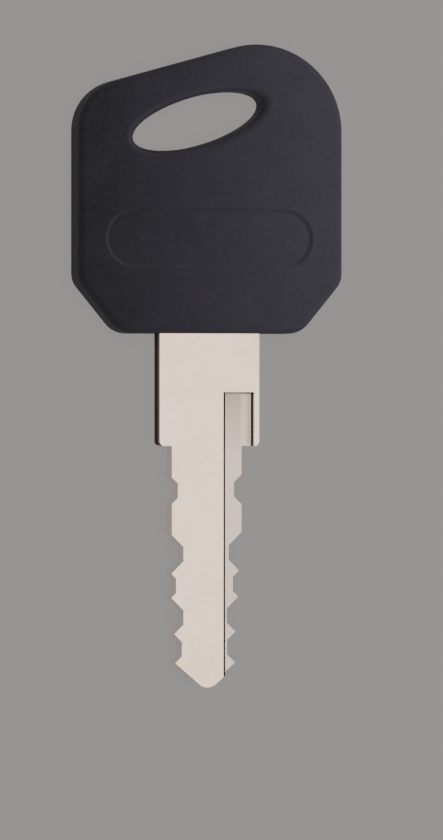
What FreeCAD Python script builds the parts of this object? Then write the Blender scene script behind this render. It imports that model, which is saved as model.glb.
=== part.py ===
# Key with a moulded plastic head on a flat metal blade.
# The head is thick and has a slanted top, an oval hole for a key ring and a shallow oblong
# panel in its face. The blade is one stamped piece: a tang that the plastic is moulded round,
# a wide shank that ends in two square shoulders, and a narrower part that enters the lock.
# A step is milled along the right of the front face, and notches are cut into both edges.
#
# Frame: the key lies on its back. +Z comes out of the face with the panel, +Y runs from the
# tip to the head, and the origin is under the middle of the key. Lengths are in millimetres
# and angles in degrees. Both bodies are drawn about the point where the axis of the blade
# crosses the line of the shoulders, half way through the thickness.

import FreeCAD, Part

import math
import os
import re

import Sketcher

SIZES = [
    # Head
    ("head_width", 25.7),
    ("head_length", 27.45),
    ("head_thickness", 4.0),
    ("top_slope", 15.7),
    ("top_right_radius", 8.25),
    ("top_left_radius", 4.8),
    ("bottom_width", 17.6),
    ("corner_cut_rise", 4.95),
    ("side_corner_radius", 2.0),
    ("bottom_corner_radius", 2.5),
    ("head_edge_round", 0.6),
    # Key-ring hole, an oval that rises to the right
    ("ring_hole_length", 13.13),
    ("ring_hole_width", 4.55),
    ("ring_hole_tilt", 16.3),
    ("ring_hole_left_of_axis", 1.16),
    ("ring_hole_below_top", 7.32),
    ("ring_hole_round", 0.75),
    # Oblong panel sunk into the face
    ("panel_length", 20.2),
    ("panel_width", 5.7),
    ("panel_depth", 0.25),
    ("panel_wall_slope", 54.0),
    ("panel_left_of_axis", 0.15),
    ("panel_above_bottom", 9.0),
    # Blade
    ("blade_thickness", 2.4),
    ("shank_width", 9.68),
    ("shank_length", 10.65),
    ("shoulder_corner_radius", 0.45),
    ("neck_corner_radius", 0.14),
    ("blade_width", 7.16),
    ("blade_left_of_axis", 0.08),
    ("blade_length", 22.9),
    ("tip_half_angle", 49.0),
    ("tip_left_of_axis", 0.2),
    ("tip_round", 1.2),
    # Tang inside the head
    ("tang_length", 12.0),
    ("tang_corner_cut", 1.6),
    ("anchor_hole_diameter", 3.0),
    ("anchor_hole_from_end", 3.6),
    ("mould_gap", 0.02),
    # Milled step on the right of the front face
    ("step_left", 1.55),
    ("step_right", 4.36),
    ("step_depth", 1.6),
    ("step_top", 5.1),
    ("step_end_radius", 0.2),
    ("step_edge_break", 0.16),
    # Notches
    ("notch_pitch", 3.0),
    ("first_notch", 4.25),
    ("right_cuts_higher", 0.1),
    ("notch_flat", 1.37),
    ("notch_flank_angle", 45.0),
    ("notch_left_1", 0.58),
    ("notch_left_3", 1.12),
    ("notch_left_4", 0.40),
    ("notch_left_5", 1.12),
    ("notch_left_6", 0.97),
    ("notch_right_1", 0.74),
    ("notch_right_3", 1.27),
    ("notch_right_4", 0.85),
    ("notch_right_5", 1.45),
    ("notch_right_6", 1.42),
    ("cutter_overrun", 1.0),
]

# Places along the blade that are notched. The second is left uncut.
NOTCH_PLACES = (1, 3, 4, 5, 6)

doc = FreeCAD.newDocument("key")

sheet = doc.addObject("Spreadsheet::Sheet", "Sizes")
for row, (word, size) in enumerate(SIZES, start=1):
    sheet.set("A%d" % row, word)
    sheet.set("B%d" % row, str(size))
    sheet.setAlias("B%d" % row, word)
doc.recompute()

WORDS = {word for word, size in SIZES}


def cells(formula):
    """The formula with each size's word turned into its cell of the sheet."""
    return re.sub(r"[a-z_0-9]+", lambda m: "Sizes." + m[0] if m[0] in WORDS else m[0], formula)


def value(formula):
    """The number that a formula of sizes comes to now."""
    return float(sheet.evalExpression(cells(formula)))


def bind(obj, prop, formula):
    """Tie one property of an object to a formula of sizes."""
    obj.setExpression(prop, cells(formula))


def add_body(name):
    """An empty body, placed so that the key lies on its back with its middle at the origin."""
    body = doc.addObject("PartDesign::Body", name)
    body.Label = name
    bind(body, "Placement.Base.y", "(blade_length - shank_length - head_length) / 2")
    bind(body, "Placement.Base.z", "head_thickness / 2")
    return body


def add_sketch(body, name, role, offset="0"):
    """A sketch on one of the body's own origin planes, moved along its normal."""
    plane = [o for o in body.Origin.OriginFeatures if o.Role == role][0]
    sketch = body.newObject("Sketcher::SketchObject", name)
    sketch.AttachmentSupport = [(plane, "")]
    sketch.MapMode = "FlatFace"
    bind(sketch, "AttachmentOffset.Base.z", offset)
    return sketch


def pin_point(sketch, geo, end, x, y):
    """Fix one point of a sketch at two formulas of sizes, measured from the origin."""
    for kind, formula in (("DistanceX", x), ("DistanceY", y)):
        number = sketch.addConstraint(
            Sketcher.Constraint(kind, -1, 1, geo, end, value(formula)))
        bind(sketch, "Constraints[%d]" % number, formula)


def add_polygon(sketch, corners):
    """A closed outline of straight lines through corners given as pairs of formulas."""
    points = [FreeCAD.Vector(value(x), value(y), 0) for x, y in corners]
    lines = []
    for start, end in zip(points, points[1:] + points[:1]):
        lines.append(sketch.addGeometry(Part.LineSegment(start, end)))
    for line, following in zip(lines, lines[1:] + lines[:1]):
        sketch.addConstraint(Sketcher.Constraint("Coincident", line, 2, following, 1))
    for line, (x, y) in zip(lines, corners):
        pin_point(sketch, line, 1, x, y)


def add_circle(sketch, x, y, radius):
    """A circle whose centre and radius are formulas of sizes."""
    centre = FreeCAD.Vector(value(x), value(y), 0)
    circle = sketch.addGeometry(
        Part.Circle(centre, FreeCAD.Vector(0, 0, 1), value(radius)))
    pin_point(sketch, circle, 3, x, y)
    number = sketch.addConstraint(Sketcher.Constraint("Radius", circle, value(radius)))
    bind(sketch, "Constraints[%d]" % number, radius)


def add_feature(body, kind, name, sketch, length, side="Symmetric", backwards=False):
    """A pad or a pocket of a sketch, its length bound to a formula of sizes."""
    feature = body.newObject("PartDesign::" + kind, name)
    feature.Profile = sketch
    feature.SideType = side
    feature.Reversed = backwards
    bind(feature, "Length", length)
    doc.recompute()
    return feature


def finish_edges(body, kind, name, wanted, prop, size):
    """A fillet or chamfer on each edge of the body's last feature for which wanted(edge) holds."""
    base = body.Tip
    names = ["Edge%d" % (i + 1) for i, edge in enumerate(base.Shape.Edges) if wanted(edge)]
    finish = body.newObject("PartDesign::" + kind, name)
    finish.Base = (base, names)
    bind(finish, prop, size)
    doc.recompute()


def round_edges(body, name, wanted, radius):
    """Round every edge of the body's last feature for which wanted(edge) holds."""
    finish_edges(body, "Fillet", name, wanted, "Radius", radius)


def upright_at(*corners):
    """A test for edges along Z that stand at one of the corners, given as pairs of formulas."""
    places = [(value(x), value(y)) for x, y in corners]

    def test(edge):
        box = edge.BoundBox
        if box.ZLength < NEAR or box.XLength > NEAR or box.YLength > NEAR:
            return False
        return any(math.hypot(box.XMin - x, box.YMin - y) < NEAR for x, y in places)

    return test


# Two points nearer than this are the same point.
NEAR = 1e-4

# Heights used more than once, measured along Y from the shoulders.
HEAD_BOTTOM = "shank_length"
HEAD_TOP = "(shank_length + head_length)"
TANG_TOP = "(shank_length + tang_length)"
TIP_APEX = "-(blade_length + tip_round * (1 / sin(tip_half_angle) - 1))"

# The two edges of the narrower part and the apex of the tip lie a little left of the axis.
# Each flank of the tip leaves its edge at a start of its own.
BLADE_LEFT = "-(blade_width / 2 + blade_left_of_axis)"
BLADE_RIGHT = "(blade_width / 2 - blade_left_of_axis)"
TIP_LEFT_START = "(%s + (%s) / tan(tip_half_angle))" % (
    TIP_APEX, "blade_width / 2 + blade_left_of_axis - tip_left_of_axis")
TIP_RIGHT_START = "(%s + (%s) / tan(tip_half_angle))" % (
    TIP_APEX, "blade_width / 2 - blade_left_of_axis + tip_left_of_axis")


def tang_outline(bottom, gap):
    """Corners of the tang's outline from a height up, grown by a gap on its free sides."""
    side = "(shank_width / 2 + %s)" % gap
    top = "(%s + %s)" % (TANG_TOP, gap)
    return [
        ("-" + side, bottom),
        (side, bottom),
        (side, top + " - tang_corner_cut"),
        (side + " - tang_corner_cut", top),
        ("tang_corner_cut - " + side, top),
        ("-" + side, top + " - tang_corner_cut"),
    ]


ANCHOR_HOLES = [TANG_TOP + " - anchor_hole_from_end",
                HEAD_BOTTOM + " + anchor_hole_from_end"]


# Blade: one flat piece from the tip to the top of the tang.
blade = add_body("key_blade")

outline = add_sketch(blade, "BladeOutline", "XY_Plane")
tang = tang_outline("0", "0")
add_polygon(outline, [
    ("-tip_left_of_axis", TIP_APEX),
    (BLADE_RIGHT, TIP_RIGHT_START),
    (BLADE_RIGHT, "0"),
] + tang[1:] + tang[:1] + [
    (BLADE_LEFT, "0"),
    (BLADE_LEFT, TIP_LEFT_START),
])
add_feature(blade, "Pad", "BladePlate", outline, "blade_thickness")

# The shoulders stop the key against the lock. Their outer corners are worn round, and the
# corner of the neck keeps the small radius of the die.
round_edges(blade, "ShoulderCorners",
            upright_at(("shank_width / 2", "0"), ("-shank_width / 2", "0")),
            "shoulder_corner_radius")
round_edges(blade, "NeckCorners",
            upright_at((BLADE_RIGHT, "0"), (BLADE_LEFT, "0")),
            "neck_corner_radius")
round_edges(blade, "TipRound", upright_at(("-tip_left_of_axis", TIP_APEX)), "tip_round")

# The plastic runs through two round holes in the tang and so holds the blade.
anchors = add_sketch(blade, "AnchorHoles", "XY_Plane")
for height in ANCHOR_HOLES:
    add_circle(anchors, "0", height, "anchor_hole_diameter / 2")
add_feature(blade, "Pocket", "AnchorBores", anchors, "blade_thickness + cutter_overrun")

# Milled step: its profile is drawn along the blade and cut across it. In the shank it leaves
# a narrow land on the right, below the shoulders it runs off the right edge, and it runs out
# through the tip. The cutter leaves a small round at the upper end, and the long edge that is
# left standing beside the step is broken with a narrow chamfer.
STEP_FLOOR = "(blade_thickness / 2 - step_depth)"
profile = add_sketch(blade, "StepProfile", "YZ_Plane", "step_left")
add_polygon(profile, [
    ("-(blade_length + cutter_overrun)", STEP_FLOOR),
    ("step_top", STEP_FLOOR),
    ("step_top", "blade_thickness / 2 + cutter_overrun"),
    ("-(blade_length + cutter_overrun)", "blade_thickness / 2 + cutter_overrun"),
])
plate_volume = blade.Tip.Shape.Volume
add_feature(blade, "Pocket", "MilledStep", profile, "step_right - step_left",
            side="One side", backwards=True)
if blade.Tip.Shape.Volume >= plate_volume:
    raise RuntimeError("the milled step cut nothing")


def step_end(edge):
    """The edge across the blade where the floor of the step meets its upper end."""
    box = edge.BoundBox
    return (box.XLength > NEAR
            and abs(box.YMin - value("step_top")) < NEAR
            and abs(box.YMax - value("step_top")) < NEAR
            and abs(box.ZMin - value(STEP_FLOOR)) < NEAR
            and abs(box.ZMax - value(STEP_FLOOR)) < NEAR)


def land_edge(edge):
    """The long edge between the front face and the left wall of the step."""
    box = edge.BoundBox
    return (box.YLength > NEAR
            and abs(box.XMin - value("step_left")) < NEAR
            and abs(box.XMax - value("step_left")) < NEAR
            and abs(box.ZMin - value("blade_thickness / 2")) < NEAR
            and abs(box.ZMax - value("blade_thickness / 2")) < NEAR)


round_edges(blade, "StepEnd", step_end, "step_end_radius")
finish_edges(blade, "Chamfer", "LandEdge", land_edge, "Size", "step_edge_break")

# Notches: at each place the cutter makes one flat-bottomed notch in each edge, with sloping
# flanks that open outwards. Deep neighbours meet in a peak. The right edge is cut in a pass of
# its own, a little nearer the shoulders. The places lie on the straight part of the edges, so
# a shorter blade has fewer.
for place in NOTCH_PLACES:
    left_centre = "-(first_notch + %d * notch_pitch)" % (place - 1)
    right_centre = left_centre + " + right_cuts_higher"
    if value(left_centre) < max(value(TIP_LEFT_START), value(TIP_RIGHT_START)):
        continue
    notch = add_sketch(blade, "Notch%d" % place, "XY_Plane")
    for edge, inwards, centre, depth in (
            (BLADE_LEFT, "+", left_centre, "notch_left_%d" % place),
            (BLADE_RIGHT, "-", right_centre, "notch_right_%d" % place)):
        root = "%s %s %s" % (edge, inwards, depth)
        mouth = "%s - (%s cutter_overrun)" % (edge, inwards)
        reach = "notch_flat / 2 + (%s + cutter_overrun) * tan(notch_flank_angle)" % depth
        add_polygon(notch, [
            (mouth, "%s - (%s)" % (centre, reach)),
            (root, centre + " - notch_flat / 2"),
            (root, centre + " + notch_flat / 2"),
            (mouth, "%s + (%s)" % (centre, reach)),
        ])
    before = blade.Tip.Shape.Volume
    add_feature(blade, "Pocket", "NotchCut%d" % place, notch,
                "blade_thickness + cutter_overrun")
    if blade.Tip.Shape.Volume >= before:
        raise RuntimeError("notch %d cut nothing" % place)


# Head: the sharp outline first, then its corners. The slanted top line is the common tangent
# of the two upper corner arcs, and the top of the right one is the top of the key.
head = add_body("key_head")

TOP_RIGHT_CORNER = (HEAD_TOP + " - top_right_radius * (1 - cos(top_slope)"
                    " - (1 + sin(top_slope)) * tan(top_slope))")
TOP_LEFT_CORNER = TOP_RIGHT_CORNER + " - head_width * tan(top_slope)"
SIDE_BOTTOM = HEAD_BOTTOM + " + corner_cut_rise"

outline = add_sketch(head, "HeadOutline", "XY_Plane")
head_corners = [
    ("-bottom_width / 2", HEAD_BOTTOM),
    ("bottom_width / 2", HEAD_BOTTOM),
    ("head_width / 2", SIDE_BOTTOM),
    ("head_width / 2", TOP_RIGHT_CORNER),
    ("-head_width / 2", TOP_LEFT_CORNER),
    ("-head_width / 2", SIDE_BOTTOM),
]
add_polygon(outline, head_corners)
add_feature(head, "Pad", "HeadBlock", outline, "head_thickness")
round_edges(head, "BottomCorners", upright_at(*head_corners[0:2]), "bottom_corner_radius")
round_edges(head, "SideCorners", upright_at(head_corners[2], head_corners[5]),
            "side_corner_radius")
round_edges(head, "TopRightCorner", upright_at(head_corners[3]), "top_right_radius")
round_edges(head, "TopLeftCorner", upright_at(head_corners[4]), "top_left_radius")


def on_faces(edge):
    """Edges that lie wholly in the front or the back face of the head."""
    box = edge.BoundBox
    return box.ZLength < NEAR and abs(abs(box.ZMin) - value("head_thickness / 2")) < NEAR


round_edges(head, "HeadEdges", on_faces, "head_edge_round")

# The ring hole is an ellipse, held by its centre, its two axes and its tilt.
ring = add_sketch(head, "RingHole", "XY_Plane")
ring_x = "-ring_hole_left_of_axis"
ring_y = HEAD_TOP + " - ring_hole_below_top"
ring_centre = FreeCAD.Vector(value(ring_x), value(ring_y), 0)
tilt = math.radians(value("ring_hole_tilt"))
along = FreeCAD.Vector(math.cos(tilt), math.sin(tilt), 0)
across = FreeCAD.Vector(-math.sin(tilt), math.cos(tilt), 0)
oval = ring.addGeometry(Part.Ellipse(
    ring_centre + along * value("ring_hole_length / 2"),
    ring_centre + across * value("ring_hole_width / 2"),
    ring_centre))
ring.exposeInternalGeometry(oval)
long_axis = oval + 1
short_axis = oval + 2
pin_point(ring, oval, 3, ring_x, ring_y)
for axis, length in ((long_axis, "ring_hole_length"), (short_axis, "ring_hole_width")):
    number = ring.addConstraint(Sketcher.Constraint("Distance", axis, value(length)))
    bind(ring, "Constraints[%d]" % number, length)
number = ring.addConstraint(Sketcher.Constraint("Angle", long_axis, tilt))
bind(ring, "Constraints[%d]" % number, "ring_hole_tilt * 1 deg")
before = set((round(e.Length, 4), round(e.CenterOfMass.y, 4)) for e in head.Tip.Shape.Edges)
add_feature(head, "Pocket", "RingHoleCut", ring, "head_thickness + cutter_overrun")


def hole_rim(edge):
    """Edges in the faces of the head that were not there before the ring hole."""
    mark = (round(edge.Length, 4), round(edge.CenterOfMass.y, 4))
    return on_faces(edge) and mark not in before


round_edges(head, "RingHoleRims", hole_rim, "ring_hole_round")

# Panel: an oblong with half-round ends, sunk into the face and left bare, with a wall that
# slopes in to the floor. Its two arcs are held by their centres and one radius, and its two
# straight sides are tangent to both.
panel = add_sketch(head, "Panel", "XY_Plane", "head_thickness / 2")
PANEL_Y = HEAD_BOTTOM + " + panel_above_bottom"
PANEL_REACH = "(panel_length - panel_width) / 2"
radius = value("panel_width / 2")
ends = []
for sign, start in (("-", math.pi / 2), ("+", -math.pi / 2)):
    x = "-panel_left_of_axis %s %s" % (sign, PANEL_REACH)
    centre = FreeCAD.Vector(value(x), value(PANEL_Y), 0)
    circle = Part.Circle(centre, FreeCAD.Vector(0, 0, 1), radius)
    arc = panel.addGeometry(Part.ArcOfCircle(circle, start, start + math.pi))
    pin_point(panel, arc, 3, x, PANEL_Y)
    ends.append(arc)
left_x = value("-panel_left_of_axis - " + PANEL_REACH)
right_x = value("-panel_left_of_axis + " + PANEL_REACH)
middle = value(PANEL_Y)
lower = panel.addGeometry(Part.LineSegment(FreeCAD.Vector(left_x, middle - radius, 0),
                                           FreeCAD.Vector(right_x, middle - radius, 0)))
upper = panel.addGeometry(Part.LineSegment(FreeCAD.Vector(right_x, middle + radius, 0),
                                           FreeCAD.Vector(left_x, middle + radius, 0)))
panel.addConstraint([
    Sketcher.Constraint("Tangent", ends[0], 2, lower, 1),
    Sketcher.Constraint("Tangent", lower, 2, ends[1], 1),
    Sketcher.Constraint("Tangent", ends[1], 2, upper, 1),
    Sketcher.Constraint("Tangent", upper, 2, ends[0], 1),
    Sketcher.Constraint("Equal", ends[0], ends[1]),
])
number = panel.addConstraint(Sketcher.Constraint("Radius", ends[0], radius))
bind(panel, "Constraints[%d]" % number, "panel_width / 2")
recess = add_feature(head, "Pocket", "PanelRecess", panel, "panel_depth", side="One side")
bind(recess, "TaperAngle", "-panel_wall_slope")

# Cavity that the tang fills, open at the bottom edge where the shank comes out.
cavity = add_sketch(head, "TangCavity", "XY_Plane")
add_polygon(cavity, tang_outline(HEAD_BOTTOM + " - cutter_overrun", "mould_gap"))
before = head.Tip.Shape.Volume
add_feature(head, "Pocket", "TangPocket", cavity, "blade_thickness + 2 * mould_gap")
if head.Tip.Shape.Volume >= before:
    raise RuntimeError("the tang's cavity cut nothing")

# Posts of plastic that fill the anchor holes and join the front of the head to the back.
posts = add_sketch(head, "PlasticPosts", "XY_Plane")
for height in ANCHOR_HOLES:
    add_circle(posts, "0", height, "anchor_hole_diameter / 2 - mould_gap")
add_feature(head, "Pad", "AnchorPosts", posts, "blade_thickness + 2 * mould_gap")

doc.recompute()

# Every feature must have worked, and each body must be one sound solid.
for obj in doc.Objects:
    if "Invalid" in obj.State or "Error" in obj.State:
        raise RuntimeError("%s failed: %s" % (obj.Name, obj.State))
for body in (blade, head):
    if body.Shape.isNull() or not body.Shape.isValid() or len(body.Shape.Solids) != 1:
        raise RuntimeError("%s is not one valid solid" % body.Label)

os.makedirs("parts", exist_ok=True)
for body in (blade, head):
    body.Shape.exportStep("parts/%s.step" % body.Label)
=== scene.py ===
# A cut key with a moulded black head and a nickel-plated blade, lying on its back.
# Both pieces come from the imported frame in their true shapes. This script gives them their
# finishes, and then sets the table, the light and the camera. Names that end in _MM are in
# millimetres, and all other lengths are in metres.

import math

import bpy
import numpy as np
from mathutils import Matrix, Vector

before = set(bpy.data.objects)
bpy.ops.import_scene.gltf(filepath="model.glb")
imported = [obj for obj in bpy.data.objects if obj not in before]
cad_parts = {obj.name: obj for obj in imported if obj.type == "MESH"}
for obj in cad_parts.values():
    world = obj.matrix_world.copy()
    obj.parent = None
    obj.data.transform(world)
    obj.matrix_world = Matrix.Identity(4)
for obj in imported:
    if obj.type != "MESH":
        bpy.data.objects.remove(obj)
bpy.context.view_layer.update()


# Head: one moulding of black plastic round the root of the blade. The faces of its mould were
# spark-eroded, so the plastic has a fine matt grain, and handling has rubbed its rounded edges
# a little smoother. Those edges are also a little lighter, partly from that wear and partly as a
# painted highlight.

HEAD_BLACK = "#24222a"
HEAD_CLOUDED = "#2e2b33"
# The colour of the rounded edges: rubbed wear with a painted highlight on it.
HEAD_RUBBED_HIGHLIGHT = "#37353c"
HEAD_GLOSS = 0.14
HEAD_GRAIN_MM = 0.22
HEAD_GRAIN_DEEP_MM = 0.02
HEAD_GRAIN_STRENGTH = 0.7
HEAD_CLOUD_MM = 4.0
HEAD_MOTTLE_MM = 0.5
HEAD_MOTTLE_SHARE = 0.5
FINE_NOISE = {"Detail": 3.0, "Roughness": 0.6}
CLOUD_NOISE = {"Detail": 3.0, "Roughness": 0.55}
HEAD_MOTTLE_NOISE = {"Detail": 2.0, "Roughness": 0.5}
NOISE_SPREAD = (0.35, 0.65)
HEAD_ROUGHNESS = (0.46, 0.58)
RUBBED_SMOOTHER = 0.10
EDGE_GAIN = 4.0


def linear(hex_colour):
    """sRGB hex to linear RGBA: each channel c becomes c / 12.92 up to 0.04045, and above that
    ((c + 0.055) / 1.055) ** 2.4."""
    channels = np.array([int(hex_colour[i:i + 2], 16) for i in (1, 3, 5)]) / 255
    values = np.where(channels <= 0.04045, channels / 12.92, ((channels + 0.055) / 1.055) ** 2.4)
    return (*values.tolist(), 1.0)


def per_metre(size_mm):
    """The noise scale whose features are about size_mm across: 1000 mm divided by the size."""
    return 1000.0 / size_mm


def node(tree, kind, inputs, **settings):
    """Adds a node, sets its properties, and fills or links its inputs by name or number."""
    made = tree.nodes.new(kind)
    for name, setting in settings.items():
        setattr(made, name, setting)
    for key, source in inputs.items():
        if isinstance(source, bpy.types.NodeSocket):
            tree.links.new(source, made.inputs[key])
        else:
            made.inputs[key].default_value = source
    return made.outputs


def black_moulded_plastic():
    """Black moulded plastic with a bluish cast. It is matt and faintly mottled, so soft light
    fades over it without a gleam, and its grain is so fine that it only dulls it further."""
    material = bpy.data.materials.new("moulded black plastic")
    material.use_nodes = True
    tree = material.node_tree
    tree.nodes.clear()
    place = node(tree, "ShaderNodeTexCoord", {})
    grain = node(tree, "ShaderNodeTexNoise", {
        "Vector": place["Object"], "Scale": per_metre(HEAD_GRAIN_MM), **FINE_NOISE})
    cloud = node(tree, "ShaderNodeTexNoise", {
        "Vector": place["Object"], "Scale": per_metre(HEAD_CLOUD_MM), **CLOUD_NOISE})
    mottle = node(tree, "ShaderNodeTexNoise", {
        "Vector": place["Object"], "Scale": per_metre(HEAD_MOTTLE_MM), **HEAD_MOTTLE_NOISE})
    both = node(tree, "ShaderNodeMix", {
        0: HEAD_MOTTLE_SHARE, 2: cloud["Fac"], 3: mottle["Fac"]})
    spread = node(tree, "ShaderNodeMapRange", {
        "Value": both[0], "From Min": NOISE_SPREAD[0], "From Max": NOISE_SPREAD[1]})
    # A rounded edge is where the surface is neither level nor upright. There n (1 - n) is above
    # nought, n being the upward part of the normal, and four times that is 1 half way round.
    facing = node(tree, "ShaderNodeSeparateXYZ", {"Vector": place["Normal"]})
    level = node(tree, "ShaderNodeMath", {0: facing["Z"]}, operation="ABSOLUTE")
    upright = node(tree, "ShaderNodeMath", {0: 1.0, 1: level[0]}, operation="SUBTRACT")
    edge = node(tree, "ShaderNodeMath", {0: level[0], 1: upright[0]}, operation="MULTIPLY")
    # There the plastic is lighter, partly from wear and partly as a painted highlight, and a
    # little smoother.
    rubbed_highlit = node(tree, "ShaderNodeMath", {0: edge[0], 1: EDGE_GAIN}, operation="MULTIPLY",
                  use_clamp=True)
    clouded = node(tree, "ShaderNodeMix", {
        0: spread[0], 6: linear(HEAD_BLACK), 7: linear(HEAD_CLOUDED)}, data_type="RGBA")
    colour = node(tree, "ShaderNodeMix", {
        0: rubbed_highlit[0], 6: clouded[2], 7: linear(HEAD_RUBBED_HIGHLIGHT)}, data_type="RGBA")
    rough = node(tree, "ShaderNodeMapRange", {
        "Value": spread[0], "To Min": HEAD_ROUGHNESS[0], "To Max": HEAD_ROUGHNESS[1]})
    smoother = node(tree, "ShaderNodeMath", {0: rubbed_highlit[0], 1: -RUBBED_SMOOTHER, 2: rough[0]},
                    operation="MULTIPLY_ADD")
    bump = node(tree, "ShaderNodeBump", {
        "Strength": HEAD_GRAIN_STRENGTH, "Distance": HEAD_GRAIN_DEEP_MM / 1000,
        "Height": grain["Fac"]})
    shader = node(tree, "ShaderNodeBsdfPrincipled", {
        "Base Color": colour[2], "Roughness": smoother[0],
        "Specular IOR Level": HEAD_GLOSS, "Normal": bump[0]})
    node(tree, "ShaderNodeOutputMaterial", {"Surface": shader[0]})
    return material


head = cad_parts["key_head"]
head_plastic = black_moulded_plastic()
for slot in head.material_slots:
    slot.material = head_plastic


# Blade: stamped from strip and plated with nickel, so its faces are a warm satin silver with a
# faint grain along its length. The floor of the milled step is duller, with painted shade that
# deepens towards its end, and painted light by its right wall and on the curve at its end.
# Painted shade darkens its broken edge, a band of its right wall and one of the shank's sides.

NICKEL_WHITE = "#ebd3be"
NICKEL_WARM = "#e6c5a9"
STEP_FLOOR = "#c2b0a2"
# Painted shade on the step floor towards its end wall.
STEP_FLOOR_END_SHADE = "#9a8b7e"
# Painted light on the curve at the step's end, so that it shows no dark line.
STEP_END_CURVE_LIGHT = "#f6efe9"
# Painted shade along the broken edge and the strip of face beside it.
BROKEN_EDGE_SHADE = "#3a3330"
CUT_FLANK = "#f8eeea"
STEP_WALL = "#f8f4f1"
# Painted shade in a band of the step's right wall.
STEP_WALL_SHADE = "#3a3532"
# Painted shade in a band along the shank's outer side.
SHANK_SIDE = "#b9b0ab"
SHANK_SIDE_SHADE = "#332d2a"
GRAIN_LINE_MM = 0.12
GRAIN_STRETCH = 0.04
GRAIN_DEEP_MM = 0.008
GRAIN_STRENGTH = 0.15
PATCH_MM = 5.0
PATCH_NOISE = {"Detail": 3.0, "Roughness": 0.5}
BLADE_MOTTLE_MM = 0.5
BLADE_MOTTLE_SHARE = 0.45
BLADE_ROUGHNESS = (0.28, 0.40)
FLOOR_ROUGHNESS = 0.36
SHADE_BAND_ROUGHNESS = 0.80
SIDE_LEVEL = 0.3
LEANING_LEVEL = 0.97
RIGHTWARD_LEAN = 0.2
DOWNWARD_LEAN = -0.3
FLOOR_BELOW_MM = 1.75
SHANK_ABOVE_MM = -7.62
SHANK_SIDE_OUT_MM = 4.6
STEP_WALL_OUT_MM = 4.2
STEP_END_MM = -2.5
STEP_BRIGHT_MM = -8.5
BROKEN_RIM_MM = (1.378, 0.028)
SHANK_SIDE_FADE_MM = (0.7, 1.3)
SHANK_SIDE_TOP_FADE_MM = (3.2, 2.0)
STEP_WALL_FADE_MM = (1.5, 2.0)
STEP_WALL_TOP_FADE_MM = (3.3, 2.5)
# Where the painted light on the step floor by its right wall fades in.
STEP_CORNER_FADE_MM = (3.2, 4.36)


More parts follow.
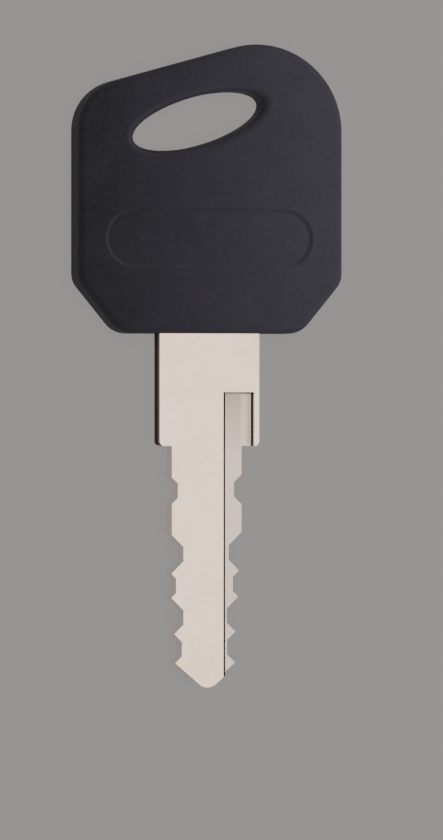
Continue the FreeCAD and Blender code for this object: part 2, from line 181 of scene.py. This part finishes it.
def nickel_plate():
    """Nickel plate over rolled strip: a warm, slightly pink silver with a soft broad reflection,
    drawn out a little along the blade, and a duller colour on the milled floor. Painted shade
    darkens the broken edge, bands of the sides and the floor towards the step's end, and
    painted light brightens the floor by the right wall and the curve at the step's end. Each
    colour has a zone, found by where it lies and which way it faces. A zone is 1 inside,
    0 outside, and the product of two zones is where both hold."""
    material = bpy.data.materials.new("nickel-plated strip")
    material.use_nodes = True
    tree = material.node_tree
    tree.nodes.clear()
    place = node(tree, "ShaderNodeTexCoord", {})
    along = node(tree, "ShaderNodeMapping", {
        "Vector": place["Object"], "Scale": (1.0, GRAIN_STRETCH, 1.0)})
    grain = node(tree, "ShaderNodeTexNoise", {
        "Vector": along[0], "Scale": per_metre(GRAIN_LINE_MM), **FINE_NOISE})
    patch = node(tree, "ShaderNodeTexNoise", {
        "Vector": place["Object"], "Scale": per_metre(PATCH_MM), **PATCH_NOISE})
    mottle = node(tree, "ShaderNodeTexNoise", {
        "Vector": place["Object"], "Scale": per_metre(BLADE_MOTTLE_MM), **FINE_NOISE})
    both = node(tree, "ShaderNodeMix", {
        0: BLADE_MOTTLE_SHARE, 2: patch["Fac"], 3: mottle["Fac"]})
    spread = node(tree, "ShaderNodeMapRange", {
        "Value": both[0], "From Min": NOISE_SPREAD[0], "From Max": NOISE_SPREAD[1]})
    spot = node(tree, "ShaderNodeSeparateXYZ", {"Vector": place["Object"]})
    facing = node(tree, "ShaderNodeSeparateXYZ", {"Vector": place["Normal"]})
    aside = node(tree, "ShaderNodeMath", {0: spot["X"]}, operation="ABSOLUTE")
    level = node(tree, "ShaderNodeMath", {0: facing["Z"]}, operation="ABSOLUTE")

    # Sides stand upright. The broken edge alone leans to the right, and the curve at the end of
    # the step alone leans down the blade. The rim is the strip of the upper face beside the
    # broken edge, given by its middle and half its width.
    zone = {}
    for name, measure, test, bound in (
            ("side", level[0], "LESS_THAN", SIDE_LEVEL),
            ("leaning", level[0], "LESS_THAN", LEANING_LEVEL),
            ("rightwards", facing["X"], "GREATER_THAN", RIGHTWARD_LEAN),
            ("downwards", facing["Y"], "LESS_THAN", DOWNWARD_LEAN),
            ("upwards", facing["Z"], "GREATER_THAN", 0.0),
            ("low", spot["Z"], "LESS_THAN", FLOOR_BELOW_MM / 1000),
            ("beside step", spot["Y"], "LESS_THAN", STEP_END_MM / 1000),
            ("in shank", spot["Y"], "GREATER_THAN", SHANK_ABOVE_MM / 1000),
            ("far out", aside[0], "GREATER_THAN", STEP_WALL_OUT_MM / 1000),
            ("outermost", aside[0], "GREATER_THAN", SHANK_SIDE_OUT_MM / 1000)):
        zone[name] = node(tree, "ShaderNodeMath", {0: measure, 1: bound}, operation=test)[0]
    zone["at rim"] = node(tree, "ShaderNodeMath", {
        0: spot["X"], 1: BROKEN_RIM_MM[0] / 1000, 2: BROKEN_RIM_MM[1] / 1000},
        operation="COMPARE")[0]

    # These zones fade in from one place on an axis to another.
    for name, measure, (start_mm, full_mm) in (
            ("near end", spot["Y"], (STEP_BRIGHT_MM, STEP_END_MM)),
            ("near wall", spot["X"], STEP_CORNER_FADE_MM),
            ("side height", spot["Z"], SHANK_SIDE_FADE_MM),
            ("under side top", spot["Z"], SHANK_SIDE_TOP_FADE_MM),
            ("wall height", spot["Z"], STEP_WALL_FADE_MM),
            ("under wall top", spot["Z"], STEP_WALL_TOP_FADE_MM)):
        zone[name] = node(tree, "ShaderNodeMapRange", {
            "Value": measure, "From Min": start_mm / 1000, "From Max": full_mm / 1000})[0]
    for name, first, second in (
            ("chamfer", "leaning", "rightwards"),
            ("end curve", "leaning", "downwards"),
            ("floor", "upwards", "low"),
            ("rim", "at rim", "beside step"),
            ("upper rim", "rim", "upwards"),
            ("step wall", "in shank", "far out"),
            ("shank side", "in shank", "outermost"),
            ("corner", "in shank", "near wall"),
            ("side band", "side height", "under side top"),
            ("wall band", "wall height", "under wall top")):
        zone[name] = node(tree, "ShaderNodeMath", {0: zone[first], 1: zone[second]},
                          operation="MULTIPLY")[0]
    # Painted shade lies on the broken edge and on the strip of the upper face beside it.
    broken = node(tree, "ShaderNodeMath", {0: zone["chamfer"], 1: zone["upper rim"]},
                  operation="MAXIMUM")

    # Each line lays a colour over the one before it: the plate's own, painted shade or painted
    # light. The sides have their own row of colours.
    plate = node(tree, "ShaderNodeMix", {
        0: spread[0], 6: linear(NICKEL_WARM), 7: linear(NICKEL_WHITE)}, data_type="RGBA")
    # Painted shade: the step floor darkens towards the wall at the step's end.
    milled = node(tree, "ShaderNodeMix", {
        0: zone["near end"], 6: linear(STEP_FLOOR), 7: linear(STEP_FLOOR_END_SHADE)},
        data_type="RGBA")
    # Painted light: the step floor is lightened towards the step's right wall, where it would
    # show shaded.
    wall_side_lightened = node(tree, "ShaderNodeMix", {
        0: zone["corner"], 6: milled[2], 7: linear(NICKEL_WHITE)}, data_type="RGBA")
    face = node(tree, "ShaderNodeMix", {
        0: zone["floor"], 6: plate[2], 7: wall_side_lightened[2]}, data_type="RGBA")
    # Painted light: the curve at the end of the step is lightened.
    ended = node(tree, "ShaderNodeMix", {
        0: zone["end curve"], 6: face[2], 7: linear(STEP_END_CURVE_LIGHT)}, data_type="RGBA")
    edged = node(tree, "ShaderNodeMix", {
        0: broken[0], 6: ended[2], 7: linear(BROKEN_EDGE_SHADE)}, data_type="RGBA")
    # Painted shade darkens a band of the step's right wall.
    wall = node(tree, "ShaderNodeMix", {
        0: zone["wall band"], 6: linear(STEP_WALL), 7: linear(STEP_WALL_SHADE)},
        data_type="RGBA")
    flank = node(tree, "ShaderNodeMix", {
        0: zone["step wall"], 6: linear(CUT_FLANK), 7: wall[2]}, data_type="RGBA")
    # Painted shade darkens a band of the shank's outer side.
    side_shade = node(tree, "ShaderNodeMix", {
        0: zone["side band"], 6: linear(SHANK_SIDE), 7: linear(SHANK_SIDE_SHADE)},
        data_type="RGBA")
    sheared = node(tree, "ShaderNodeMix", {
        0: zone["shank side"], 6: flank[2], 7: side_shade[2]}, data_type="RGBA")
    colour = node(tree, "ShaderNodeMix", {
        0: zone["side"], 6: edged[2], 7: sheared[2]}, data_type="RGBA")

    # The painted-shade bands are rough as well, so that nothing bright is mirrored in them.
    plated = node(tree, "ShaderNodeMapRange", {
        "Value": grain["Fac"], "To Min": BLADE_ROUGHNESS[0], "To Max": BLADE_ROUGHNESS[1]})
    uncut = node(tree, "ShaderNodeMix", {0: zone["floor"], 2: plated[0], 3: FLOOR_ROUGHNESS})
    band = node(tree, "ShaderNodeMix", {
        0: zone["shank side"], 2: zone["wall band"], 3: zone["side band"]})
    banded = node(tree, "ShaderNodeMath", {0: zone["step wall"], 1: band[0]},
                  operation="MULTIPLY")
    shade_bands = node(tree, "ShaderNodeMath", {0: zone["side"], 1: banded[0]},
                     operation="MULTIPLY")
    rough = node(tree, "ShaderNodeMix", {0: shade_bands[0], 2: uncut[0], 3: SHADE_BAND_ROUGHNESS})
    bump = node(tree, "ShaderNodeBump", {
        "Strength": GRAIN_STRENGTH, "Distance": GRAIN_DEEP_MM / 1000, "Height": grain["Fac"]})
    shader = node(tree, "ShaderNodeBsdfPrincipled", {
        "Base Color": colour[2], "Metallic": 1.0, "Roughness": rough[0], "Normal": bump[0]})
    node(tree, "ShaderNodeOutputMaterial", {"Surface": shader[0]})
    return material


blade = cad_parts["key_blade"]
blade_nickel = nickel_plate()
for slot in blade.material_slots:
    slot.material = blade_nickel


# Table: plain, pale grey and evenly lit from within, as a light table is. It has a faint
# painted contact shadow where the key lies on it, and is clear from below, so that the back of
# the key shows.

TABLE_HALF = 1.5
TABLE_BELOW = 0.00004
TABLE_GREY = "#9c9a98"
TABLE_CONTACT_SHADOW = "#929190"
TABLE_SHADE_REACH = 0.0015
TABLE_SHADE_SAMPLES = 8

table_corners = TABLE_HALF * np.array([(-1, -1, 0), (1, -1, 0), (1, 1, 0), (-1, 1, 0)])
table_corners[:, 2] = -TABLE_BELOW
table_mesh = bpy.data.meshes.new("table")
table_mesh.from_pydata(table_corners.tolist(), [], [(0, 1, 2, 3)])
table = bpy.data.objects.new("table", table_mesh)
bpy.context.scene.collection.objects.link(table)
table_grey = bpy.data.materials.new("evenly lit table")
table_grey.use_nodes = True
table_tree = table_grey.node_tree
table_tree.nodes.clear()
openness = node(table_tree, "ShaderNodeAmbientOcclusion", {"Distance": TABLE_SHADE_REACH},
                samples=TABLE_SHADE_SAMPLES)
# Painted contact shadow: the table is darker where the key closes it in.
glow = node(table_tree, "ShaderNodeMix", {
    0: openness["AO"], 6: linear(TABLE_CONTACT_SHADOW), 7: linear(TABLE_GREY)}, data_type="RGBA")
lit = node(table_tree, "ShaderNodeEmission", {"Color": glow[2], "Strength": 1.0})
clear = node(table_tree, "ShaderNodeBsdfTransparent", {})
seen_from = node(table_tree, "ShaderNodeNewGeometry", {})
top_only = node(table_tree, "ShaderNodeMixShader", {
    0: seen_from["Backfacing"], 1: lit[0], 2: clear[0]})
node(table_tree, "ShaderNodeOutputMaterial", {"Surface": top_only[0]})
table_mesh.materials.append(table_grey)


# Light: a soft even room, a large box overhead and one on the left that only the blade mirrors,
# and a small box near the right of the head, which alone gets it, so that its face fades from
# right to left. The left box lights the corner of the step.

ROOM_WHITE = (1.0, 1.0, 1.0, 1.0)
ROOM_STRENGTH = 0.45
KEY_MIDDLE = (0.0, 0.0, 0.0)
OVERHEAD_PLACE = (0.16, 0.02, 0.60)
OVERHEAD_SIZE = (0.40, 0.60)
OVERHEAD_WATTS = 1.3
LEFT_PLACE = (-0.15, 0.02, 0.60)
LEFT_SIZE = (0.16, 0.40)
LEFT_WATTS = 1.2
NEAR_RIGHT_PLACE = (0.036, 0.025, 0.034)
NEAR_RIGHT_AIM = (0.036, 0.025, 0.0)
NEAR_RIGHT_SIZE = (0.06, 0.10)
NEAR_RIGHT_WATTS = 0.041

room = bpy.data.worlds.new("soft room")
room.use_nodes = True
room.node_tree.nodes["Background"].inputs["Color"].default_value = ROOM_WHITE
room.node_tree.nodes["Background"].inputs["Strength"].default_value = ROOM_STRENGTH
bpy.context.scene.world = room


def softbox(name, place, aim, size, watts, receiver):
    """A soft box of a width and a length, at a place and facing an aim, for one piece alone."""
    light = bpy.data.lights.new(name, "AREA")
    light.shape = "RECTANGLE"
    light.size, light.size_y = size
    light.energy = watts
    lamp = bpy.data.objects.new(name, light)
    lamp.location = place
    lamp.rotation_euler = (Vector(aim) - Vector(place)).to_track_quat("-Z", "Y").to_euler()
    lamp.visible_camera = False
    bpy.context.scene.collection.objects.link(lamp)
    only = bpy.data.collections.new(name + " receiver")
    only.objects.link(receiver)
    lamp.light_linking.receiver_collection = only


softbox("overhead box", OVERHEAD_PLACE, KEY_MIDDLE, OVERHEAD_SIZE, OVERHEAD_WATTS, blade)
softbox("left box", LEFT_PLACE, KEY_MIDDLE, LEFT_SIZE, LEFT_WATTS, blade)
softbox("near right box", NEAR_RIGHT_PLACE, NEAR_RIGHT_AIM, NEAR_RIGHT_SIZE, NEAR_RIGHT_WATTS,
        head)


# Camera: straight above the key and turned a little to its left, far off with a long lens. It
# is set by the scale of the photograph and by two pixels of it: the column of the blade's axis
# and the row of the shoulders.

VIEW_TURN_DEG = 13.5
VIEW_DISTANCE = 0.6
FRAME_WIDTH_PX = 443
FRAME_HEIGHT_PX = 840
PX_PER_MM = 10.53
AXIS_PX = 206.7
SHOULDER_PX = 445.8
SHOULDER_Y = -0.0076
MID_HEIGHT = 0.002
SENSOR_MM = 36.0
CLIP_NEAR = 0.01
CLIP_FAR = 10.0

turn = math.radians(VIEW_TURN_DEG)
image_right = Vector((math.cos(turn), 0, math.sin(turn)))
image_up = Vector((0, 1, 0))
towards_viewer = image_right.cross(image_up)
px_per_metre = PX_PER_MM * 1000
aim = (Vector((0, SHOULDER_Y, MID_HEIGHT))
       + image_right * (FRAME_WIDTH_PX / 2 - AXIS_PX) / px_per_metre
       + image_up * (SHOULDER_PX - FRAME_HEIGHT_PX / 2) / px_per_metre)
lens = bpy.data.cameras.new("camera")
lens.sensor_width = SENSOR_MM
lens.lens = SENSOR_MM * VIEW_DISTANCE * px_per_metre / FRAME_HEIGHT_PX
lens.clip_start = CLIP_NEAR
lens.clip_end = CLIP_FAR
camera = bpy.data.objects.new("camera", lens)
camera.matrix_world = Matrix.Translation(aim + towards_viewer * VIEW_DISTANCE) @ Matrix(
    (image_right, image_up, towards_viewer)).transposed().to_4x4()
bpy.context.scene.collection.objects.link(camera)
bpy.context.scene.camera = camera
